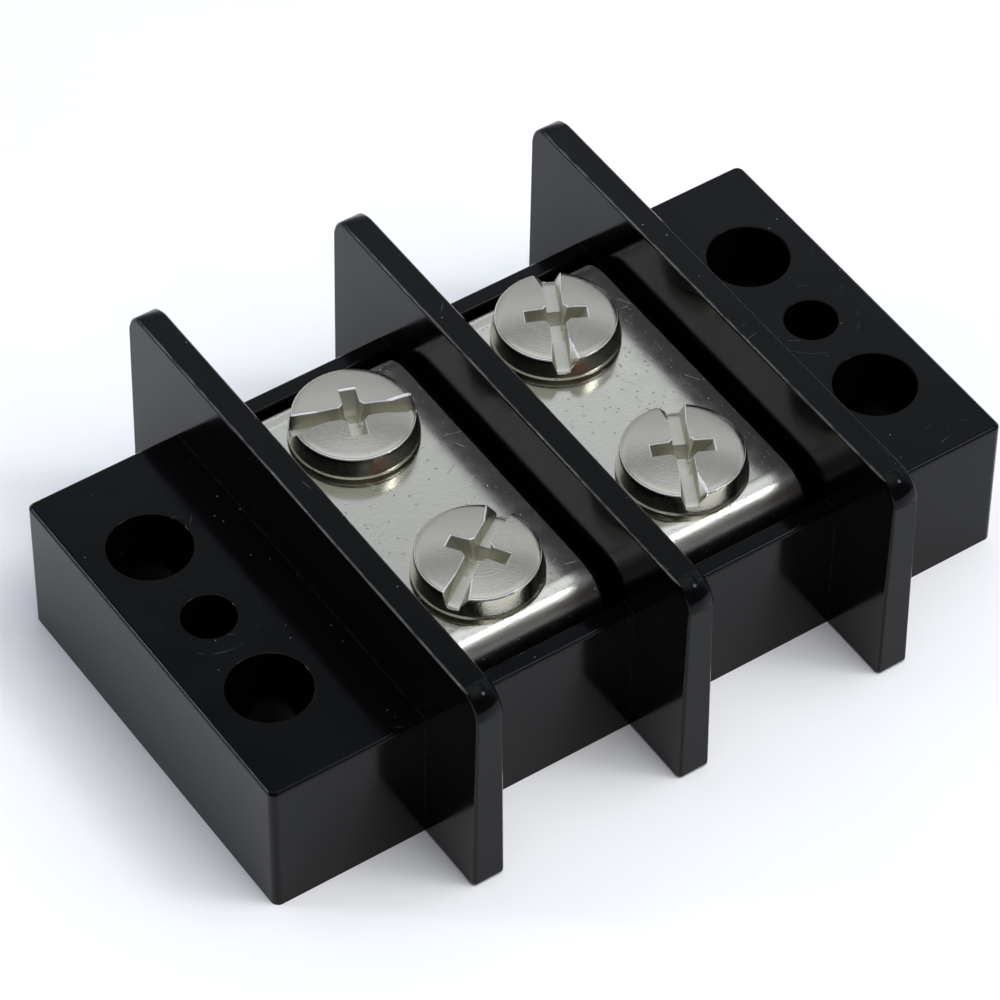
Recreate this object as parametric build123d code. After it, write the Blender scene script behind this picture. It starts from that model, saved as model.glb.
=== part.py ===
# Double-row barrier terminal block with two poles, fixed by holes through its end flanges.
# Frame: +X along the row of poles, +Y towards the rear screws, +Z up, origin at the
# middle of the underside. Sizes are in millimetres.
from build123d import *
import os

os.makedirs("parts", exist_ok=True)

# Row of poles
POLES = 2
PITCH = 17.5               # from the middle of one barrier to the middle of the next

# Body, the low block that runs the whole length of the row, and its end flanges
BODY_WIDTH = 32.5
BODY_HEIGHT = 12.0
FLANGE_LENGTH = 13.7       # from the middle of an end barrier to the end of the block
CORNER_ROUND = 0.6         # upright corners of the block
EDGE_BREAK = 0.28          # flat that breaks the upper edges of the block

# Barriers, the tall fins that keep the poles apart
BARRIER_CREST = 2.15       # thickness along the top
BARRIER_FOOT = 2.6         # thickness at the underside, so that the mould lets go
BARRIER_HEIGHT = 19.3
BARRIER_OVERHANG = 6.25    # reach past the body, at the front and at the rear
BARRIER_CORNER = 2.0       # radius of the two upper corners
BARRIER_HEEL = 0.4         # radius of the two lower corners
BARRIER_EDGE = 0.22        # flat that breaks the outline of each side face

# Holes through the end flanges: a large one each side of a small one
FIXING_HOLE = 6.1
LOCATING_HOLE = 3.9
HOLE_TO_END = 5.2          # from the row of holes to the end of the block
FIXING_SPACING = 15.7
HOLE_MOUTH = 0.18          # chamfer where a hole opens in the flange

# Seat of a strap, between the front and rear rims
RIM = 1.55                 # thickness of each rim
SEAT_DROP = 0.3            # seat below the top of the rims

# Terminal strap: a plate with turned-down ends and two drawn, tapped collars
STRAP_THICK = 1.6
STRAP_SIDE_GAP = 0.65      # from the plate to the foot of a barrier
STRAP_END_GAP = 0.8        # from a turned-down end to the rim in front of it
STRAP_BEND = 0.8           # inner radius of each bend
STRAP_EDGE = 0.3           # tumbled flat along the outer side edges
LEG_DEPTH = 3.6            # reach of a turned-down end below the seat
LEG_GRIP = 0.05            # clearance between a turned-down end and the seat it holds
LEG_TIP_GAP = 0.6          # below the tip of a turned-down end
COLLAR_WALL = 1.2
COLLAR_DEPTH = 2.4         # below the underside of the plate
COLLAR_GAP = 0.15          # around a collar in its pocket

# Terminal screws
SCREW_INSET = 5.95         # from the end of the strap to the middle of a screw
SHANK = 4.13               # core of the M5 thread
SHANK_LENGTH = 10.0
SHANK_LEAD = 0.28          # chamfer at the tip
SHANK_TIP_GAP = 0.9        # from the tip to the bottom of its pocket
THREAD_GAP = 0.035         # around the core in the tapped collar
HEAD = 9.6
HEAD_SIDE = 2.1            # height of the side of the head
HEAD_CROWN = 0.33          # rise of the dome above the side
HEAD_TAPER = 0.3           # how much smaller the radius is at the top of the side
HEAD_FOOT_BREAK = 0.32     # flat at the lower edge of the head
HEAD_RIM_BREAK = 0.1       # flat between the side and the dome

# Screwdriver slot, and the flares that open its walls towards the rim. The wall on the
# counter-clockwise side of each end opens wider and less deep than the other one.
SLOT_WEB = 0.95            # metal left under the slot
SLOT_FLOOR = 0.95          # width of the floor
SLOT_MOUTH = 1.3           # width at the top between the flares
FLARE_START = 2.2          # from the axis of the screw to the point of each flare
WIDE_FLARE = (0.75, 0.8)   # opening and depth at the rim
DEEP_FLARE = (0.45, 1.1)

# Cross recess over the middle of the slot: four wings that narrow towards their root, and a
# square core, turned by 45 degrees, that cuts the corners between them
CROSS_DEPTH = 2.4
CROSS_SPAN = 4.9
CROSS_WIDTH = 1.3
CROSS_CORE = 2.3
CROSS_ROOT_SPAN = 1.9
CROSS_ROOT_WIDTH = 0.85
CROSS_ROOT_CORE = 1.1

# How each screw was left when tightened: slot from +X, as (front, rear), pole by pole
SLOT_TURNS = [(34.0, -21.0), (64.0, 63.0)]

# Places that follow from the sizes above
OVERCUT = 1.0              # how far a cutter runs past what it cuts
ROW_LENGTH = POLES * PITCH
BLOCK_LENGTH = ROW_LENGTH + 2 * FLANGE_LENGTH
BARRIER_X = [i * PITCH - ROW_LENGTH / 2 for i in range(POLES + 1)]
POLE_X = [x + PITCH / 2 for x in BARRIER_X[:-1]]
HOLE_X = BLOCK_LENGTH / 2 - HOLE_TO_END
RIM_Y = BODY_WIDTH / 2 - RIM
SEAT = BODY_HEIGHT - SEAT_DROP
STRAP_TOP = SEAT + STRAP_THICK
STRAP_Y = RIM_Y - STRAP_END_GAP
STRAP_WIDTH = PITCH - BARRIER_FOOT - 2 * STRAP_SIDE_GAP
LEG_Y = STRAP_Y - STRAP_THICK
SCREW_Y = STRAP_Y - SCREW_INSET
BORE = SHANK + 2 * THREAD_GAP
COLLAR = BORE + 2 * COLLAR_WALL
CROWN = HEAD_SIDE + HEAD_CROWN
SIDES = {"front": -1, "rear": 1}


def upright(diameter, y, bottom, top):
    """A round boss or cutter on the line x = 0, standing on the plane z = bottom."""
    return Pos(0, y, bottom) * extrude(Circle(diameter / 2), top - bottom)


def end_section(half_width, bottom, top, radius):
    """A rectangle in the YZ plane whose two upper corners are rounded."""
    flat = Pos(0, (bottom + top) / 2) * Rectangle(2 * half_width, top - bottom)
    return Plane.YZ * fillet(flat.vertices().group_by(Axis.Y)[-1], radius)


def trapezoid(foot, crest, bottom, top):
    """An upright section, foot wide at the level bottom and crest wide at the level top."""
    return Polygon(
        (-foot / 2, bottom),
        (foot / 2, bottom),
        (crest / 2, top),
        (-crest / 2, top),
        align=None,
    )


def body_block():
    block = extrude(Rectangle(BLOCK_LENGTH, BODY_WIDTH), BODY_HEIGHT)
    block = fillet(block.edges().filter_by(Axis.Z), CORNER_ROUND)
    return chamfer(block.faces().sort_by(Axis.Z)[-1].edges(), EDGE_BREAK)


def seat_recess():
    """The trough that runs through all the poles, with a raised seat along its middle."""
    floor = SEAT - LEG_DEPTH - LEG_TIP_GAP
    height = BODY_HEIGHT + OVERCUT - floor
    trough = Plane.YZ * Pos(0, floor + height / 2) * Rectangle(2 * RIM_Y, height)
    seat = end_section(LEG_Y - LEG_GRIP, floor, SEAT, STRAP_BEND)
    return extrude(trough - seat, ROW_LENGTH / 2, both=True)


def barrier():
    """A drafted fin: its end view sets the taper, its side view the rounded corners."""
    end_view = Plane.XZ * trapezoid(BARRIER_FOOT, BARRIER_CREST, 0, BARRIER_HEIGHT)
    reach = BODY_WIDTH / 2 + BARRIER_OVERHANG
    side_view = end_section(reach, 0, BARRIER_HEIGHT, BARRIER_CORNER)
    side_view = fillet(side_view.vertices().group_by(Axis.Z)[0], BARRIER_HEEL)
    fin = extrude(end_view, reach, both=True) & extrude(side_view, BARRIER_FOOT, both=True)
    flanks = fin.faces().group_by(Axis.X)
    outline = [e for flank in (flanks[0], flanks[-1]) for e in flank.edges() if e.center().Z > BARRIER_HEEL]
    return chamfer(outline, BARRIER_EDGE)


def screw_pocket(y):
    """The blind hole under a screw, wide enough for the collar and deep enough for the tip."""
    bottom = STRAP_TOP - SHANK_LENGTH - SHANK_TIP_GAP
    return upright(COLLAR + 2 * COLLAR_GAP, y, bottom, BODY_HEIGHT + OVERCUT)


def flange_hole(diameter, y):
    """A hole right through the flange, chamfered where it opens on top."""
    hole = upright(diameter, y, -OVERCUT, BODY_HEIGHT)
    mouth = Pos(0, y, BODY_HEIGHT - HOLE_MOUTH / 2) * Cone(
        diameter / 2, diameter / 2 + HOLE_MOUTH, HOLE_MOUTH)
    return hole + mouth


def moulded_base():
    base = body_block() - seat_recess()
    rim_edges = base.edges().filter_by(Axis.X).filter_by_position(Axis.Z, SEAT, BODY_HEIGHT)
    rim_edges = rim_edges.filter_by_position(Axis.Y, -RIM_Y, RIM_Y)
    base = chamfer(rim_edges.group_by(Axis.Z)[-1], EDGE_BREAK)
    for x in BARRIER_X:
        base += Pos(x, 0, 0) * barrier()
    for side in SIDES.values():
        for x in POLE_X:
            base -= Pos(x, 0, 0) * screw_pocket(side * SCREW_Y)
        for x in (-HOLE_X, HOLE_X):
            base -= Pos(x, 0, 0) * flange_hole(FIXING_HOLE, side * FIXING_SPACING / 2)
    for x in (-HOLE_X, HOLE_X):
        base -= Pos(x, 0, 0) * flange_hole(LOCATING_HOLE, 0)
    return base


def terminal_strap():
    """The plate of one pole, bent from strip, with a tapped collar under each screw."""
    tip = SEAT - LEG_DEPTH
    outside = end_section(STRAP_Y, tip, STRAP_TOP, STRAP_BEND + STRAP_THICK)
    inside = end_section(LEG_Y, tip - OVERCUT, SEAT, STRAP_BEND)
    strap = extrude(outside, STRAP_WIDTH / 2, both=True)
    flanks = strap.faces().filter_by(Axis.X)
    strap = chamfer([e for flank in flanks for e in flank.edges() if e.center().Z > tip], STRAP_EDGE)
    strap -= extrude(inside, STRAP_WIDTH / 2, both=True)
    for side in SIDES.values():
        y = side * SCREW_Y
        strap += upright(COLLAR, y, SEAT - COLLAR_DEPTH, SEAT + STRAP_THICK / 2)
        strap -= upright(BORE, y, SEAT - COLLAR_DEPTH - OVERCUT, STRAP_TOP + OVERCUT)
    return strap


def slot_flare(opening, depth, hand):
    """A wedge that opens one wall of the slot: it starts at a point on the wall's upper edge,
    sinks along the wall and leaves the rim with the given opening and depth."""
    wall = hand * SLOT_MOUTH / 2
    lean = hand * (SLOT_MOUTH - SLOT_FLOOR) / 2 / (CROWN - SLOT_WEB)
    rise = (CROWN + OVERCUT) / depth
    section = Plane.YZ.offset(FLARE_START) * Polygon(
        (0, CROWN),
        (wall, CROWN),
        (wall + hand * rise * opening, CROWN + rise * depth),
        (0, CROWN + rise * depth),
        align=None,
    )
    drop = CROWN - HEAD_SIDE + depth
    run = HEAD / 2 - HEAD_TAPER - FLARE_START
    return extrude(section, run + OVERCUT, dir=(run, -lean * drop, -drop))


def slot_cutter():
    section = Plane.YZ * trapezoid(SLOT_FLOOR, SLOT_MOUTH, SLOT_WEB, CROWN)
    cutter = extrude(section, HEAD / 2 + OVERCUT, both=True)
    for turn in (0, 180):
        cutter += Rot(0, 0, turn) * slot_flare(*WIDE_FLARE, 1)
        cutter += Rot(0, 0, turn) * slot_flare(*DEEP_FLARE, -1)
    return cutter


def tapered_bar(root_length, length, root_width, width):
    """A bar that sinks from the crown to the root of the cross recess and tapers on all sides."""
    root = CROWN - CROSS_DEPTH
    front_view = Plane.XZ * trapezoid(root_length, length, root, CROWN)
    side_view = Plane.YZ * trapezoid(root_width, width, root, CROWN)
    return extrude(front_view, HEAD / 2, both=True) & extrude(side_view, HEAD / 2, both=True)


def cross_cutter():
    bar = tapered_bar(CROSS_ROOT_SPAN, CROSS_SPAN, CROSS_ROOT_WIDTH, CROSS_WIDTH)
    core = tapered_bar(CROSS_ROOT_CORE, CROSS_CORE, CROSS_ROOT_CORE, CROSS_CORE)
    return bar + Rot(0, 0, 90) * bar + Rot(0, 0, 45) * core


def terminal_screw(slot_turn):
    """A screw with a domed head, its underside on the plane z = 0 and its shank below."""
    rim = HEAD / 2 - HEAD_TAPER
    outline = Polyline(
        (0, CROWN),
        (0, -SHANK_LENGTH),
        (SHANK / 2 - SHANK_LEAD, -SHANK_LENGTH),
        (SHANK / 2, -SHANK_LENGTH + SHANK_LEAD),
        (SHANK / 2, 0),
        (HEAD / 2 - HEAD_FOOT_BREAK, 0),
        (HEAD / 2, HEAD_FOOT_BREAK),
        (rim, HEAD_SIDE),
        (rim, CROWN),
        close=True,
    )
    blank = revolve(Plane.XZ * make_face(outline), Axis.Z)
    dome = (rim ** 2 + HEAD_CROWN ** 2) / (2 * HEAD_CROWN)
    # The ball lies on its side, so that the middle of the dome isn't one of its poles
    screw = blank & Pos(0, 0, CROWN - dome) * Rot(90, 0, 0) * Sphere(dome)
    circles = screw.edges().filter_by(GeomType.CIRCLE)
    rim_edge = circles.filter_by_position(Axis.Z, HEAD_SIDE - HEAD_RIM_BREAK, HEAD_SIDE + HEAD_RIM_BREAK)
    screw = chamfer(rim_edge, HEAD_RIM_BREAK)
    screw -= slot_cutter() + cross_cutter()
    return Rot(0, 0, slot_turn) * screw


export_step(moulded_base(), "parts/moulded_base.step")
for pole, x in enumerate(POLE_X):
    export_step(Pos(x, 0, 0) * terminal_strap(), f"parts/terminal_strap_{pole + 1}.step")
    turns = SLOT_TURNS[pole % len(SLOT_TURNS)]
    for (row, side), slot_turn in zip(SIDES.items(), turns):
        screw = Pos(x, side * SCREW_Y, STRAP_TOP) * terminal_screw(slot_turn)
        export_step(screw, f"parts/terminal_screw_{pole + 1}_{row}.step")
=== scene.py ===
# %% [markdown]
# # A two-pole barrier terminal block
#
# The block is a black moulded base with three tall barriers. Between each pair of barriers sits
# a nickel-plated strap, clamped by two domed screws with a combined slot and cross recess.
# The solids come from a fixed frame in which everything already has its real size and place,
# so this file only adds what a solid model leaves out: the finish of every surface, the screw
# threads, the light and the camera. All lengths in Blender are metres.

import bmesh
import bpy
import math
from mathutils import Matrix, Vector


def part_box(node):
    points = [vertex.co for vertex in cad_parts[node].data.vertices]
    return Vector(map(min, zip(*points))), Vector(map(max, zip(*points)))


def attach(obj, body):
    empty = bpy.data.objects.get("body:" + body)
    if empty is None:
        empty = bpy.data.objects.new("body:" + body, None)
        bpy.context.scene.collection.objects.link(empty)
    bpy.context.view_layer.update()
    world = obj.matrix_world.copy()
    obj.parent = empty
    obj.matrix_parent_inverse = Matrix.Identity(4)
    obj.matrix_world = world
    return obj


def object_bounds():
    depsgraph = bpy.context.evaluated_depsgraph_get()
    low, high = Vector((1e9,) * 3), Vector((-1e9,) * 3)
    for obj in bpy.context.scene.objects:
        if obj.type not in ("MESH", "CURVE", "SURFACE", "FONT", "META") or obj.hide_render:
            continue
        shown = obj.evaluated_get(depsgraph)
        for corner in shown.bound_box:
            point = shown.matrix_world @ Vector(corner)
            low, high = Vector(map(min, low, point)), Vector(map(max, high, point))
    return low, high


MM = 0.001
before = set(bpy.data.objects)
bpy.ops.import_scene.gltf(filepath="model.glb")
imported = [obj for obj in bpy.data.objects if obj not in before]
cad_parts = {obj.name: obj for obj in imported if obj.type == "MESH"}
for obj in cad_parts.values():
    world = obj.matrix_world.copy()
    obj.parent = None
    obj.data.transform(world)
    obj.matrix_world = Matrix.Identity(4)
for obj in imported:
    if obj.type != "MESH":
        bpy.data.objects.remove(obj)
cad_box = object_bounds()
size = cad_box[1] - cad_box[0]
print("frame", len(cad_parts), "nodes,", " x ".join(f"{s / MM:.1f}" for s in size), "mm")

# %% [markdown]
# ## Camera
#
# The photograph looks down on the block from its front left, with a long lens, so that the
# verticals stay almost parallel. A camera is set by what it looks at, from how far, and by
# three angles: azimuth round the vertical, elevation above the floor, and a small roll.
# Building its axes from those angles is plainer than turning it until it fits.

# %% Place the camera
CAMERA_AIM = Vector((-0.406, 1.585, 6.988)) * MM
CAMERA_DISTANCE = 407.5 * MM
CAMERA_AZIMUTH = math.radians(-34.34)
CAMERA_ELEVATION = math.radians(47.55)
CAMERA_ROLL = math.radians(0.403)
CAMERA_LENS = 202.84               # like the sensor's width, in millimetres of film
SENSOR_WIDTH = 36
NEAREST_SEEN = 10 * MM


def camera_axes(azimuth, elevation, roll):
    """The camera's right, up and backward directions."""
    back = Vector((
        math.sin(azimuth) * math.cos(elevation),
        -math.cos(azimuth) * math.cos(elevation),
        math.sin(elevation),
    ))
    right = Vector((math.cos(azimuth), math.sin(azimuth), 0))
    up = back.cross(right)
    turned_right = right * math.cos(roll) + up * math.sin(roll)
    turned_up = up * math.cos(roll) - right * math.sin(roll)
    return turned_right, turned_up, back


right, up, back = camera_axes(CAMERA_AZIMUTH, CAMERA_ELEVATION, CAMERA_ROLL)
camera = bpy.data.objects.new("camera", bpy.data.cameras.new("camera"))
camera.data.lens = CAMERA_LENS
camera.data.sensor_width = SENSOR_WIDTH
camera.data.clip_start = NEAREST_SEEN
camera.matrix_world = Matrix.Translation(CAMERA_AIM + back * CAMERA_DISTANCE) @ Matrix(
    (right, up, back)).transposed().to_4x4()
bpy.context.scene.collection.objects.link(camera)
bpy.context.scene.camera = camera
print("camera at", [round(v / MM) for v in camera.matrix_world.translation], "mm")

# %% [markdown]
# ## Helpers for materials
#
# Colours are written as the hex values that a colour picker shows, and one function turns them
# into the linear values that the shader works with. A second function adds a node, sets its
# values and links its inputs, so that each material below reads as a short list of steps.
# The inputs are given in the order that the node shows them, or by name.


# %% Colour and node helpers
def colour(code):
    """A hex colour as linear red, green, blue and alpha."""
    parts = [int(code[i:i + 2], 16) / 255 for i in (1, 3, 5)]
    linear = [p / 12.92 if p <= 0.04045 else ((p + 0.055) / 1.055) ** 2.4 for p in parts]
    return (*linear, 1.0)


def add(tree, kind, inputs=(), **settings):
    """A new node. Each input is a value, a socket, or a node, which stands for its first output.

    Inputs in order skip the sockets that the node's settings have switched off.
    """
    node = tree.nodes.new("ShaderNode" + kind)
    for name, value in settings.items():
        setattr(node, name, value)
    if isinstance(inputs, dict):
        pairs = [(node.inputs[name], value) for name, value in inputs.items()]
    else:
        pairs = list(zip([socket for socket in node.inputs if socket.enabled], inputs))
    for socket, value in pairs:
        if isinstance(value, bpy.types.Node):
            value = next(output for output in value.outputs if output.enabled)
        if isinstance(value, bpy.types.NodeSocket):
            tree.links.new(value, socket)
        else:
            socket.default_value = value
    return node


def new_material(name):
    """An empty material, its node tree, and the object coordinates that patterns read."""
    material = bpy.data.materials.new(name)
    material.use_nodes = True
    tree = material.node_tree
    tree.nodes.clear()
    return material, tree, add(tree, "TexCoord").outputs["Object"]


def finish_material(tree, inputs):
    """The surface shader with its inputs, led to the material's output."""
    add(tree, "OutputMaterial", {"Surface": add(tree, "BsdfPrincipled", inputs)})


print("helpers ready")

# %% [markdown]
# Patterns are built from masks, which are 1 where something shows and 0 elsewhere. A smooth step
# between two values makes a mask with a soft edge, and a product keeps the places that all its
# masks share. Most surfaces also vary in soft blotches: noise seldom leaves the middle of its
# range, so that middle is stretched to the two values wanted.

# %% Helpers for patterns
SMOOTH = {"interpolation_type": "SMOOTHSTEP"}
NOISE_MIDDLE = (0.3, 0.7)


def blotches(tree, place, width, low=0.0, high=1.0, detail=2.0, middle=NOISE_MIDDLE):
    """Soft blotches about as wide as the given real width, with values from low to high."""
    noise = add(tree, "TexNoise", {"Vector": place, "Scale": 1 / width, "Detail": detail})
    return add(tree, "MapRange", (noise, *middle, low, high), **SMOOTH)


def overlap(tree, *masks):
    """The places that all the masks share."""
    shared = masks[0]
    for mask in masks[1:]:
        shared = add(tree, "Math", (shared, mask), operation="MULTIPLY")
    return shared


print("pattern helpers ready")

# %% [markdown]
# ## Studio
#
# The block stands on white paper, lit by a soft key light from the front right, so that its
# shadow falls behind it. Glossy black and plated metal show little of their own: the eye reads
# them from what they mirror. The room below is therefore the one thing mirrored, and the key
# light is hidden from reflections, or its outline would stand on every head.

# %% Floor and key light
FLOOR_SIZE = 6.0
PAPER_TONES = (0.90, 0.93)
PAPER_BLOTCH = 0.33
KEY_AT = Vector((0.15, -0.26, 0.53))
KEY_SIZE = 0.5
KEY_RADIANCE = 3.45

material, tree, place = new_material("white_paper")
finish_material(tree, {
    "Base Color": blotches(tree, place, PAPER_BLOTCH, *PAPER_TONES),
    "Roughness": 0.9, "Specular IOR Level": 0.1})
mesh = bpy.data.meshes.new("floor")
bm = bmesh.new()
bmesh.ops.create_grid(bm, x_segments=1, y_segments=1, size=FLOOR_SIZE / 2)
bm.to_mesh(mesh)
bm.free()
floor = bpy.data.objects.new("floor", mesh)
floor.data.materials.append(material)
bpy.context.scene.collection.objects.link(floor)

lamp = bpy.data.lights.new("key", "AREA")
lamp.shape = "SQUARE"
lamp.size = KEY_SIZE
lamp.energy = KEY_RADIANCE * math.pi * KEY_SIZE ** 2
key = bpy.data.objects.new("key", lamp)
key.matrix_world = Matrix.Translation(KEY_AT) @ KEY_AT.to_track_quat("Z", "Y").to_matrix().to_4x4()
key.visible_glossy = False
bpy.context.scene.collection.objects.link(key)
print("key light", round(lamp.energy, 2), "W")

# %% [markdown]
# The room is a world whose brightness follows the height above the horizon. Behind the block a
# pale backdrop ends in a dim gap, above which the white ceiling begins. The camera's side is
# dark up to the ceiling. Two small lamps, low on the left and high on the right, draw the thin
# lines along the edges, and a dull red patch stands for whatever colour was on the camera's
# side: the plated heads pick it up in their flanks.

# %% Room
BACKDROP_BANDS = [                 # degrees above the horizon, radiance
    (0, 0.60), (38, 0.68), (43, 1.15), (45.5, 1.0), (47.5, 0.70), (49, 0.44),
    (51, 0.26), (53, 0.32), (57, 0.80), (63, 1.15), (78, 1.25)]
CAMERA_SIDE_BANDS = [(0, 0.14), (50, 0.14), (62, 0.45), (72, 0.95), (80, 1.25)]
BACKDROP_AZIMUTH = 57
BACKDROP_EDGE = (-0.15, 0.3)       # where it fades in, as cosines of the angle from its middle
ROOM_TINT = "#EEF3FF"
LEFT_LAMP = (141, 24, 4.5, (50.0, 50.0, 50.0, 1.0))    # azimuth, elevation, reach, light
RIGHT_LAMP = (-42, 55, 7, (14.0, 14.0, 14.0, 1.0))
RED_PATCH = (-84, 34, 13, (0.16, 0.012, 0.012, 1.0))


def toward(azimuth, elevation):
    """A unit vector by its degrees from +X round the vertical and its degrees above the floor."""
    azimuth, elevation = math.radians(azimuth), math.radians(elevation)
    return Vector((
        math.cos(azimuth) * math.cos(elevation),
        math.sin(azimuth) * math.cos(elevation),
        math.sin(elevation),
    ))


def banded_light(tree, height, bands):
    """Brightness by height above the horizon, from (elevation in degrees, radiance) pairs."""
    ramp = add(tree, "ValToRGB", [height])
    stops = ramp.color_ramp.elements
    while len(stops) < len(bands):
        stops.new(0.5)
    for stop, (elevation, radiance) in zip(stops, bands):
        stop.position = math.sin(math.radians(elevation))
        stop.color = (radiance, radiance, radiance, 1.0)
    return ramp


def with_patch(tree, direction, level, patch):
    """The level with a round, soft-edged patch of light laid over it."""
    azimuth, elevation, reach, light = patch
    nearness = add(tree, "VectorMath", (direction, toward(azimuth, elevation)), operation="DOT_PRODUCT")
    edges = [math.cos(math.radians(angle)) for angle in (reach, reach / 2)]
    inside = add(tree, "MapRange", (nearness, *edges), **SMOOTH)
    return add(tree, "Mix", (inside, level, light), data_type="RGBA")


world = bpy.data.worlds.new("room")
bpy.context.scene.world = world
world.use_nodes = True
tree = world.node_tree
tree.nodes.clear()
direction = add(tree, "TexCoord").outputs["Generated"]
height = add(tree, "SeparateXYZ", [direction]).outputs["Z"]
facing = add(tree, "VectorMath", (direction, toward(BACKDROP_AZIMUTH, 0)), operation="DOT_PRODUCT")
behind = add(tree, "MapRange", (facing, *BACKDROP_EDGE), **SMOOTH)
level = add(tree, "Mix", (
    behind, banded_light(tree, height, CAMERA_SIDE_BANDS), banded_light(tree, height, BACKDROP_BANDS),
), data_type="RGBA")
for patch in (LEFT_LAMP, RIGHT_LAMP, RED_PATCH):
    level = with_patch(tree, direction, level, patch)
tinted = add(tree, "Mix", (1.0, level, colour(ROOM_TINT)), data_type="RGBA", blend_type="MULTIPLY")
add(tree, "OutputWorld", {"Surface": add(tree, "Background", [tinted])})
bpy.context.scene.view_settings.view_transform = "Standard"
print("room of", len(BACKDROP_BANDS), "bands")

# %% [markdown]
# ## The base: black thermoset, moulded and left glossy
#
# The base is moulded in a filled phenolic. It is nearly black all through, so what the eye sees
# is its skin: a reflection, slightly blurred because the mould was polished and not lapped, with
# a slight waviness. Handling leaves fine strokes, and dust settles on it. Painted pictures could
# show these, but masks on the object's own coordinates stay sharp and need no unwrapping.
#
# A speck of dust is the middle of a random cell, and a stroke is such a speck in a space that is
# stretched along one direction.

# %% Specks and strokes
SPECK_CORE = 0.6                   # of a speck's radius, where it has its full tone
STROKE_CELL = (4.0 * MM, 0.2 * MM)
STROKE_REACH = 0.18                # of a cell, so a stroke is 1.4 mm long and 0.07 mm wide


def dust(tree, place, cell, radius, share):
    """Small round specks: at most one in each cell, in the given share of the cells."""
    cells = add(tree, "TexVoronoi", {"Vector": place, "Scale": 1 / cell})
    chance = add(tree, "SeparateColor", [cells.outputs["Color"]])
    kept = add(tree, "Math", (chance, share), operation="LESS_THAN")
    edge = radius / cell
    return overlap(tree, kept, add(tree, "MapRange", (cells, edge, SPECK_CORE * edge), **SMOOTH))


def strokes(tree, place, directions):
    """Short fine marks, from pairs of a direction in degrees and a share of the cells."""
    long, short = STROKE_CELL
    marks = 0.0
    for angle, share in directions:
        turned = add(tree, "VectorRotate", {"Vector": place, "Angle": math.radians(angle)},
                     rotation_type="Z_AXIS")
        stretched = add(tree, "VectorMath", (turned, (1 / long, 1 / short, 1 / short)), operation="MULTIPLY")
        found = dust(tree, stretched, 1.0, STROKE_REACH, share)
        marks = add(tree, "Math", (marks, found), operation="MAXIMUM")
    return marks


print("a stroke is", round(2 * STROKE_REACH * STROKE_CELL[0] / MM, 1), "mm long")

# %% [markdown]
# The barriers' left top edges carry a painted highlight, a thin pale line that stands for the light
# they catch, and a screw's head has left a faint ring round each small hole. The barriers stand one
# pitch apart, so wrapping x over one pitch measures all of them at once, and folding x and y to
# their absolute values serves both flanges.

# %% Where the base has a painted highlight, and rings
PITCH = 17.5 * MM
CREST = cad_box[1][2]              # the barriers are the tallest part
CREST_EDGE = 0.88 * MM             # from a barrier's middle to where its top edge starts to turn
CREST_BAND = 0.15 * MM
CREST_HIGHLIGHT_BLOTCH = 1.6 * MM
SMALL_HOLE_X = 26.0 * MM
RING_RADIUS = 3.5 * MM
RING_LINE = 0.06 * MM
RING_BLOTCH = 2.2 * MM


def plan_distance(tree, across, along):
    """The distance from an upright line, seen from above."""
    flat = add(tree, "CombineXYZ", (across, along))
    return add(tree, "VectorMath", [flat], operation="LENGTH")


material, tree, place = new_material("moulded_phenolic")
x = add(tree, "SeparateXYZ", [place]).outputs["X"]
folded = add(tree, "VectorMath", [place], operation="ABSOLUTE")
out_x, out_y, z = add(tree, "SeparateXYZ", [folded]).outputs
off_middle = add(tree, "Math", (x, PITCH / 2, -PITCH / 2), operation="WRAP")
# A painted highlight: a thin pale line along each barrier's left top edge.
crest_highlight = overlap(
    tree,
    add(tree, "Math", (off_middle, -CREST_EDGE), operation="LESS_THAN"),
    add(tree, "Math", (z, CREST, CREST_BAND), operation="COMPARE"),
    blotches(tree, place, CREST_HIGHLIGHT_BLOTCH, 0.2, 1.0, middle=(0.3, 0.65)))
past_hole = add(tree, "Math", (out_x, SMALL_HOLE_X), operation="SUBTRACT")
from_hole = plan_distance(tree, past_hole, out_y)
ring = overlap(
    tree,
    add(tree, "Math", (from_hole, RING_RADIUS, RING_LINE), operation="COMPARE"),
    blotches(tree, place, RING_BLOTCH, middle=(0.5, 0.7)))
print("rings of", round(2 * RING_RADIUS / MM, 1), "mm round the small holes")

# %% [markdown]
# Where a barrier rises from the body, the mould leaves a small round that catches the light as a
# hair-thin line, and that line is a painted highlight: a pale line in the colour. Its place follows
# from the barrier's draft: the barrier thins towards its top, so that the moulding comes out of the mould.

# %% Where the corners show a painted highlight line
BODY_TOP = 12.0 * MM
BODY_FRONT = 16.25 * MM
BARRIER_FOOT = 1.3 * MM            # half a barrier's thickness at the bottom
BARRIER_DRAFT = 0.0117             # lost from that half per millimetre of height
CORNER_HIGHLIGHT_LINE = 0.05 * MM
CORNER_HIGHLIGHT_BLOTCH = 0.5 * MM

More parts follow.
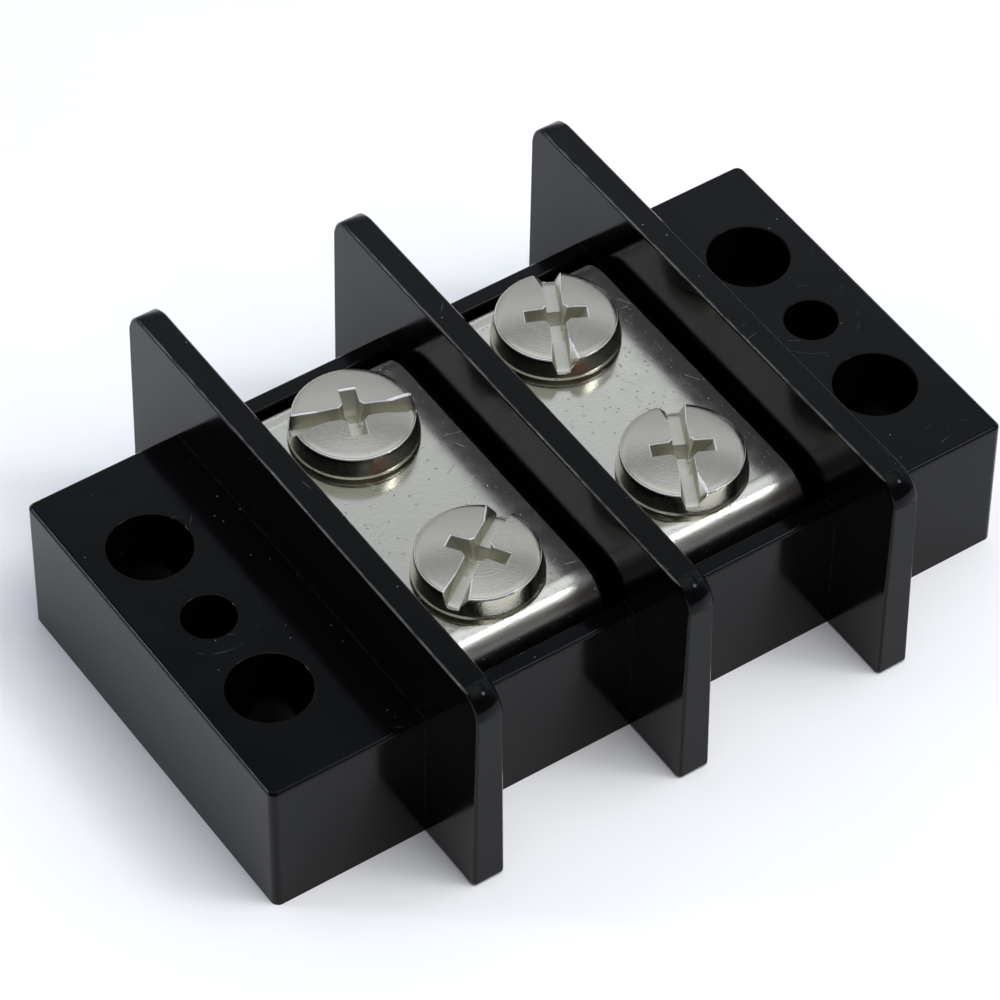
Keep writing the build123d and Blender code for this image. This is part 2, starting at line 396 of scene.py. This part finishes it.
barrier_half = add(tree, "Math", (z, -BARRIER_DRAFT, BARRIER_FOOT), operation="MULTIPLY_ADD")
to_middle = add(tree, "Math", [off_middle], operation="ABSOLUTE")
beside = add(tree, "Math", (to_middle, barrier_half, CORNER_HIGHLIGHT_LINE), operation="COMPARE")
on_top = overlap(
    tree,
    add(tree, "Math", (z, BODY_TOP, CORNER_HIGHLIGHT_LINE), operation="COMPARE"),
    add(tree, "Math", (out_y, BODY_FRONT), operation="LESS_THAN"))
on_front = overlap(
    tree,
    add(tree, "Math", (out_y, BODY_FRONT, CORNER_HIGHLIGHT_LINE), operation="COMPARE"),
    add(tree, "Math", (z, BODY_TOP), operation="LESS_THAN"))
on_body = add(tree, "Math", (on_top, on_front), operation="MAXIMUM")
# A painted highlight: a pale hair-thin line where each barrier meets the body's top and front.
corner = overlap(tree, beside, on_body, blotches(tree, place, CORNER_HIGHLIGHT_BLOTCH, 0.3, 1.0))
print("a barrier is", round(2 * (BARRIER_FOOT - BARRIER_DRAFT * CREST) / MM, 2), "mm thick at its crest")

# %% [markdown]
# Dust lies mostly on the faces that look up. The strokes run in a few directions, as a block gets
# them from being packed with others, and each is broken by blotches, or it would look ruled.

# %% Where dust and strokes lie
DUST_CELL = 1.05 * MM
DUST_RADIUS = 0.06 * MM
DUST_SHARE = 0.75
DUST_BLOTCH = 9.0 * MM
DUST_SLOPES = (0.2, 0.8)           # how far up a face has to look, as its normal's height
WALL_DUST = 0.3                    # of the dust on a level face
BASE_STROKES = ((35, 0.03), (80, 0.015), (-50, 0.025), (-10, 0.01))    # degrees, share of cells
STROKE_BLOTCH = 1.5 * MM

normal = add(tree, "NewGeometry").outputs["Normal"]
upward = add(tree, "SeparateXYZ", [normal]).outputs["Z"]
specks = overlap(
    tree,
    dust(tree, place, DUST_CELL, DUST_RADIUS, DUST_SHARE),
    add(tree, "MapRange", (upward, *DUST_SLOPES, WALL_DUST, 1.0), **SMOOTH),
    blotches(tree, place, DUST_BLOTCH, 0.15, 1.0, middle=(0.35, 0.65)))
scratches = overlap(
    tree,
    strokes(tree, place, BASE_STROKES),
    blotches(tree, place, STROKE_BLOTCH, middle=(0.4, 0.7)))
print("dust about every", round(DUST_CELL / MM, 2), "mm")

# %% [markdown]
# All the marks, the real dust and strokes and the painted highlights alike, are one pale grey at
# different strengths, so the strongest mark at a place decides how far the black skin goes towards that
# grey.

# %% Finish of the base
RIPPLE_WIDTH = 4.5 * MM
RIPPLE_DEPTH = 0.022 * MM
RIPPLE_STRENGTH = 0.6
BASE_ROUGHNESS = (0.10, 0.16)
POLISH_BLOTCH = 6.0 * MM

# The pale grey carries real dust, strokes and rings, and the painted highlights along the crests and at the
# barriers' feet.
marks_and_highlights = 0.0
for mask, strength in ((specks, 0.8), (scratches, 0.2), (corner, 0.05), (crest_highlight, 0.2), (ring, 0.06)):
    mark = add(tree, "Math", (mask, strength), operation="MULTIPLY")
    marks_and_highlights = add(tree, "Math", (marks_and_highlights, mark), operation="MAXIMUM")
skin = add(tree, "Mix", (marks_and_highlights, colour("#040405"), colour("#9A9A96")), data_type="RGBA")
waves = add(tree, "TexNoise", {"Vector": place, "Scale": 1 / RIPPLE_WIDTH, "Detail": 1.0})
ripple = add(tree, "Bump", {"Height": waves, "Distance": RIPPLE_DEPTH, "Strength": RIPPLE_STRENGTH})
finish_material(tree, {
    "Base Color": skin, "Roughness": blotches(tree, place, POLISH_BLOTCH, *BASE_ROUGHNESS, detail=4.0),
    "IOR": 1.5, "Specular IOR Level": 0.15, "Specular Tint": colour("#F3F9F5"), "Normal": ripple})
housing_material = material
print("housing material", len(tree.nodes), "nodes")

# %% [markdown]
# ## The straps: nickel plate on brass, tumbled
#
# Each strap was stamped from brass strip, tumbled with stones to take its burrs off, and plated
# with nickel. Tumbling leaves a fine hammered mottle, so it mirrors its surroundings only as a
# blur, with brighter flecks where a dent faces the light. The rolled ends took the most knocks,
# so they are rougher. All this is shallower than a hair, which bump shows well enough.

# %% Strap material
MOTTLE_WIDTH = 0.22 * MM           # coarser than the real one, so that it shows
MOTTLE_DEPTH = 0.003 * MM
ROLL_HEIGHTS = (12.95 * MM, 13.25 * MM)    # the ends roll down below the higher one
ROLL_MOTTLE = 3.0                  # added there, as a multiple of the mottle on the level top
ROLL_ROUGHNESS = 0.14              # added there
DENT_CELL = 0.42 * MM
DENT_RADIUS = 0.085 * MM
DENT_DEPTH = 0.03 * MM
DENT_SHARE = 0.3
STRAP_STROKES = ((60, 0.12), (-25, 0.1), (15, 0.08))
STROKE_DEPTH = 0.3                 # of a dent's depth
STRAP_ROUGHNESS = (0.15, 0.20)
TUMBLED_BLOTCH = 1.2 * MM

material, tree, place = new_material("tumbled_nickel")
height = add(tree, "SeparateXYZ", [place]).outputs["Z"]
rolled = add(tree, "MapRange", (height, *ROLL_HEIGHTS, 1.0, 0.0), **SMOOTH)
mottle = add(tree, "TexNoise", {"Vector": place, "Scale": 1 / MOTTLE_WIDTH, "Detail": 3.0})
knocks = add(tree, "Math", (rolled, ROLL_MOTTLE, 1.0), operation="MULTIPLY_ADD")
mottled = add(tree, "Bump", {
    "Height": overlap(tree, mottle, knocks), "Distance": MOTTLE_DEPTH, "Strength": 1.0})
scratches = overlap(tree, strokes(tree, place, STRAP_STROKES), STROKE_DEPTH)
dents = dust(tree, place, DENT_CELL, DENT_RADIUS, DENT_SHARE)
dents = add(tree, "Math", (dents, scratches), operation="MAXIMUM")
dented = add(tree, "Bump", {
    "Height": dents, "Distance": DENT_DEPTH, "Strength": 1.0, "Normal": mottled}, invert=True)
polish = blotches(tree, place, TUMBLED_BLOTCH, *STRAP_ROUGHNESS, detail=4.0)
polish = add(tree, "Math", (rolled, ROLL_ROUGHNESS, polish), operation="MULTIPLY_ADD")
finish_material(tree, {
    "Base Color": colour("#D8D7C9"), "Metallic": 1.0, "Roughness": polish, "Normal": dented})
strap_material = material
print("strap material", len(tree.nodes), "nodes")

# %% [markdown]
# ## The screws: nickel plate on cold-formed steel
#
# The heads are cold formed: the die leaves faint rings on the dome, a rougher recess and a
# grained flank. One pattern serves all four heads. Every screw stands at the same distance from
# both middle planes of the block, so x and y are folded to their absolute values. The depth
# under the dome then tells the recess from the rest of the head.

# %% Zones of a head
SCREW_ROW = 7.95 * MM              # from the block's middle plane
SCREW_AT = (PITCH / 2, SCREW_ROW)
RIM_RADIUS = 4.46 * MM
DOME_TOP = 15.73 * MM
DOME_RADIUS = 30.8 * MM
RECESS_DEPTHS = (0.02 * MM, 0.06 * MM)     # each pair says where a zone fades in, or out
DEEP_HIGHLIGHT_DEPTHS = (1.3 * MM, 1.7 * MM)
LIP_DEPTHS = (0.015 * MM, 0.03 * MM)
LIP_END = (0.12 * MM, 0.2 * MM)

material, tree, place = new_material("plated_steel")
folded = add(tree, "VectorMath", [place], operation="ABSOLUTE")
from_screw = add(tree, "VectorMath", (folded, (*SCREW_AT, 0)), operation="SUBTRACT")
across, along, height = add(tree, "SeparateXYZ", [from_screw]).outputs
radius = plan_distance(tree, across, along)
fall = add(tree, "Math", (overlap(tree, radius, radius), 2 * DOME_RADIUS), operation="DIVIDE")
dome = add(tree, "Math", (DOME_TOP, fall), operation="SUBTRACT")
depth = add(tree, "Math", (dome, height), operation="SUBTRACT")
inside = add(tree, "Math", (radius, RIM_RADIUS), operation="LESS_THAN")
flank = add(tree, "Math", (1.0, inside), operation="SUBTRACT")
recess = overlap(tree, inside, add(tree, "MapRange", (depth, *RECESS_DEPTHS), **SMOOTH))
deep_highlight = overlap(tree, inside, add(tree, "MapRange", (depth, *DEEP_HIGHLIGHT_DEPTHS), **SMOOTH))
lip = overlap(
    tree, inside,
    add(tree, "MapRange", (depth, *LIP_DEPTHS), **SMOOTH),
    add(tree, "MapRange", (depth, *LIP_END, 1.0, 0.0), **SMOOTH))
print("zones inside and outside", round(2 * RIM_RADIUS / MM, 2), "mm")

# %% [markdown]
# The solid head has sharp edges. On the real one they are rounded by a tenth of a millimetre,
# and that is where a plated head shines most. Bevels would need many small faces, so the
# rounding is drawn as a drop in a bump's height: it steepens towards the edge, as a round does.

# %% Relief of a head
RING_WIDTH = 0.16 * MM
GRAIN_WIDTH = 0.14 * MM            # two pixels wide in the render, as a finer grain wouldn't show
RELIEF_DEPTH = 0.008 * MM
RING_SHARE = 0.25
GRAIN_SHARE = 0.5
RELIEF_STRENGTHS = (2.0, 2.6)      # on the dome, and on the flank and in the recess
EDGE_DROP = 0.12 * MM
ROUND_POWER = 3.0
DOME_ROUND = (3.9 * MM, 4.5 * MM)
DOME_SHARE = 0.6                   # of the drop, as the dome's edge is less round
FLANK_ROUND = (14.95 * MM, 15.42 * MM)
FOOT_ROUND = (13.52 * MM, 13.92 * MM)


def round_over(tree, value, start, end):
    """A drop from 0 to 1 that steepens all the way, like the round at an edge."""
    ramp = add(tree, "MapRange", (value, start, end))
    return add(tree, "Math", (ramp, ROUND_POWER), operation="POWER")


rings = add(tree, "TexNoise", {"W": radius, "Scale": 1 / RING_WIDTH}, noise_dimensions="1D")
grain = add(tree, "TexNoise", {"Vector": place, "Scale": 1 / GRAIN_WIDTH, "Detail": 3.0})
relief = add(tree, "Math", (rings, RING_SHARE, overlap(tree, grain, GRAIN_SHARE)), operation="MULTIPLY_ADD")
rough = add(tree, "Math", (flank, recess), operation="MAXIMUM")
strength = add(tree, "MapRange", (rough, 0.0, 1.0, *RELIEF_STRENGTHS))
satin = add(tree, "Bump", {
    "Height": overlap(tree, relief, strength), "Distance": RELIEF_DEPTH, "Strength": 1.0})
over_dome = overlap(tree, round_over(tree, radius, *DOME_ROUND), DOME_SHARE)
over_flank = overlap(tree, flank, round_over(tree, height, *FLANK_ROUND))
dropped = add(tree, "Math", (over_dome, over_flank), operation="ADD")
foot = add(tree, "MapRange", (height, *FOOT_ROUND), **SMOOTH)
rounded = add(tree, "Math", (foot, dropped), operation="SUBTRACT")
edged = add(tree, "Bump", {
    "Height": rounded, "Distance": EDGE_DROP, "Strength": 1.0, "Normal": satin})
print("edges rounded over", round((DOME_ROUND[1] - DOME_ROUND[0]) / MM, 2), "mm")

# %% [markdown]
# The lip of the recess is burnished by the driver: its normal is drawn towards the vertical, so
# that it mirrors the ceiling and stands out as the bright outline that the eye sees first. The lip,
# the recess and its deep floor are also painted paler than the plate: a painted highlight along the
# lip, and painted light that lifts the shade inside the recess.

# %% Screw material
LIP_LIFT = (0, 0, 3.0)             # added to the lip's normal, which is 1 long
PLATE_ROUGHNESS = (0.16, 0.22)
RECESS_ROUGHNESS = 0.22            # added to the plate's

lift = add(tree, "VectorMath", (LIP_LIFT, lip), operation="SCALE")
facing = add(tree, "VectorMath", (edged, lift), operation="ADD")
facing = add(tree, "VectorMath", [facing], operation="NORMALIZE")
polish = add(tree, "MapRange", (grain, *NOISE_MIDDLE, *PLATE_ROUGHNESS), **SMOOTH)
polish = add(tree, "Math", (recess, RECESS_ROUGHNESS, polish), operation="MULTIPLY_ADD")
# The recess, its deep floor and the lip are painted paler than the plate: painted highlights that lift the
# shade inside the recess and outline its lip.
plate = colour("#BEBBAD")
for zone, code in ((recess, "#D6D4C6"), (deep_highlight, "#E8E6DA"), (lip, "#F4F3EE")):
    plate = add(tree, "Mix", (zone, plate, colour(code)), data_type="RGBA")
finish_material(tree, {
    "Base Color": plate, "Metallic": 1.0, "Roughness": polish, "Normal": facing})
screw_material = material
print("screw material", len(tree.nodes), "nodes")

# %% [markdown]
# ## Dress the solids
#
# A node's mesh must stay as it is, but modifiers may finish it. On the moulding and the straps
# the facets are welded into one skin, the loose triangles of each flat face are dissolved into
# one, the skin is cut where it turns sharply, and each corner takes the normal of its largest
# face: wide faces then look flat, and the narrow flats along the edges shade like small rounded
# edges. The screws keep the normals they came with, as their rounding is part of the finish.

# %% Smooth and paint the nodes
WELD = 0.002 * MM
FLAT_WITHIN = math.radians(0.6)
SHARP_TURN = math.radians(57)
LARGEST_WINS = 100                 # the highest weight, with which the largest face decides
SAME_AREA = 0.001 * MM ** 2        # facets this close in area count as equals
FINISHES = {"moulded": housing_material, "strap": strap_material, "screw": screw_material}


def dress(node, finish):
    """The node's material, and smooth shading over its own facets."""
    node.data.materials.clear()
    node.data.materials.append(finish)
    if finish is screw_material:
        return
    node.modifiers.new("weld", "WELD").merge_threshold = WELD
    flats = node.modifiers.new("flats", "DECIMATE")
    flats.decimate_type = "DISSOLVE"
    flats.angle_limit = FLAT_WITHIN
    split = node.modifiers.new("split", "EDGE_SPLIT")
    split.split_angle = SHARP_TURN
    split.use_edge_sharp = False
    weighted = node.modifiers.new("weighted", "WEIGHTED_NORMAL")
    weighted.keep_sharp = False
    weighted.weight = LARGEST_WINS
    weighted.thresh = SAME_AREA


for name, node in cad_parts.items():
    finish = next(f for word, f in FINISHES.items() if word in name)
    dress(node, finish)
    print(name, "is", finish.name)

# %% [markdown]
# ## Threads
#
# The solid model stops at the core of each screw, because only a backed-out screw shows its
# thread. A thread is a small ridge that climbs round the core by one pitch a turn, so its
# section is drawn once and spun with a rise. The ridge sinks a little into the core, and its
# ends are drawn down into it, as where a rolled thread runs out.

# %% Screw threads
THREAD_PITCH = 0.8 * MM
THREAD_OUTER = 2.48 * MM
THREAD_CORE = 2.04 * MM            # the shank's radius is 0.025 mm more
RIDGE_FOOT = 0.68 * MM
RIDGE_CREST = 0.12 * MM
SHANK_LENGTH = 10.0 * MM
THREAD_START = 9.3 * MM            # below the underside of the head
THREAD_TURNS = 11
STEPS_A_TURN = 32


def thread(name, centre, head_underside):
    """A helical ridge round the vertical through centre."""
    bm = bmesh.new()
    bottom = head_underside - THREAD_START
    outline = [
        (THREAD_CORE, -RIDGE_FOOT / 2), (THREAD_OUTER, -RIDGE_CREST / 2),
        (THREAD_OUTER, RIDGE_CREST / 2), (THREAD_CORE, RIDGE_FOOT / 2)]
    corners = [bm.verts.new((centre.x + r, centre.y, bottom + h)) for r, h in outline]
    section = bm.faces.new(corners)
    swept = bmesh.ops.spin(
        bm, geom=[section, *section.edges, *section.verts], cent=centre, axis=(0, 0, 1),
        dvec=(0, 0, THREAD_PITCH / STEPS_A_TURN), angle=math.tau * THREAD_TURNS,
        steps=STEPS_A_TURN * THREAD_TURNS, use_merge=False, use_duplicate=False)
    last = [v for v in swept["geom_last"] if isinstance(v, bmesh.types.BMVert)]
    for corner in [*corners, *last]:
        outward = Vector((corner.co.x - centre.x, corner.co.y - centre.y, 0))
        corner.co += outward * (THREAD_CORE / outward.length - 1)
    open_edges = [e for e in bm.edges if e.is_boundary]
    if open_edges:
        bmesh.ops.holes_fill(bm, edges=open_edges, sides=len(outline))
    bmesh.ops.recalc_face_normals(bm, faces=bm.faces)
    mesh = bpy.data.meshes.new(name)
    bm.to_mesh(mesh)
    bm.free()
    ridge = bpy.data.objects.new(name, mesh)
    ridge.data.materials.append(screw_material)
    bpy.context.scene.collection.objects.link(ridge)
    return ridge


for name in [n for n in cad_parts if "screw" in n]:
    low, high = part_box(name)
    centre = Vector(((low[0] + high[0]) / 2, (low[1] + high[1]) / 2, 0))
    ridge = thread(name.replace("terminal_screw", "thread"), centre, low[2] + SHANK_LENGTH)
    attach(ridge, name.replace("terminal_", ""))
    print(ridge.name, "has", len(ridge.data.polygons), "faces")
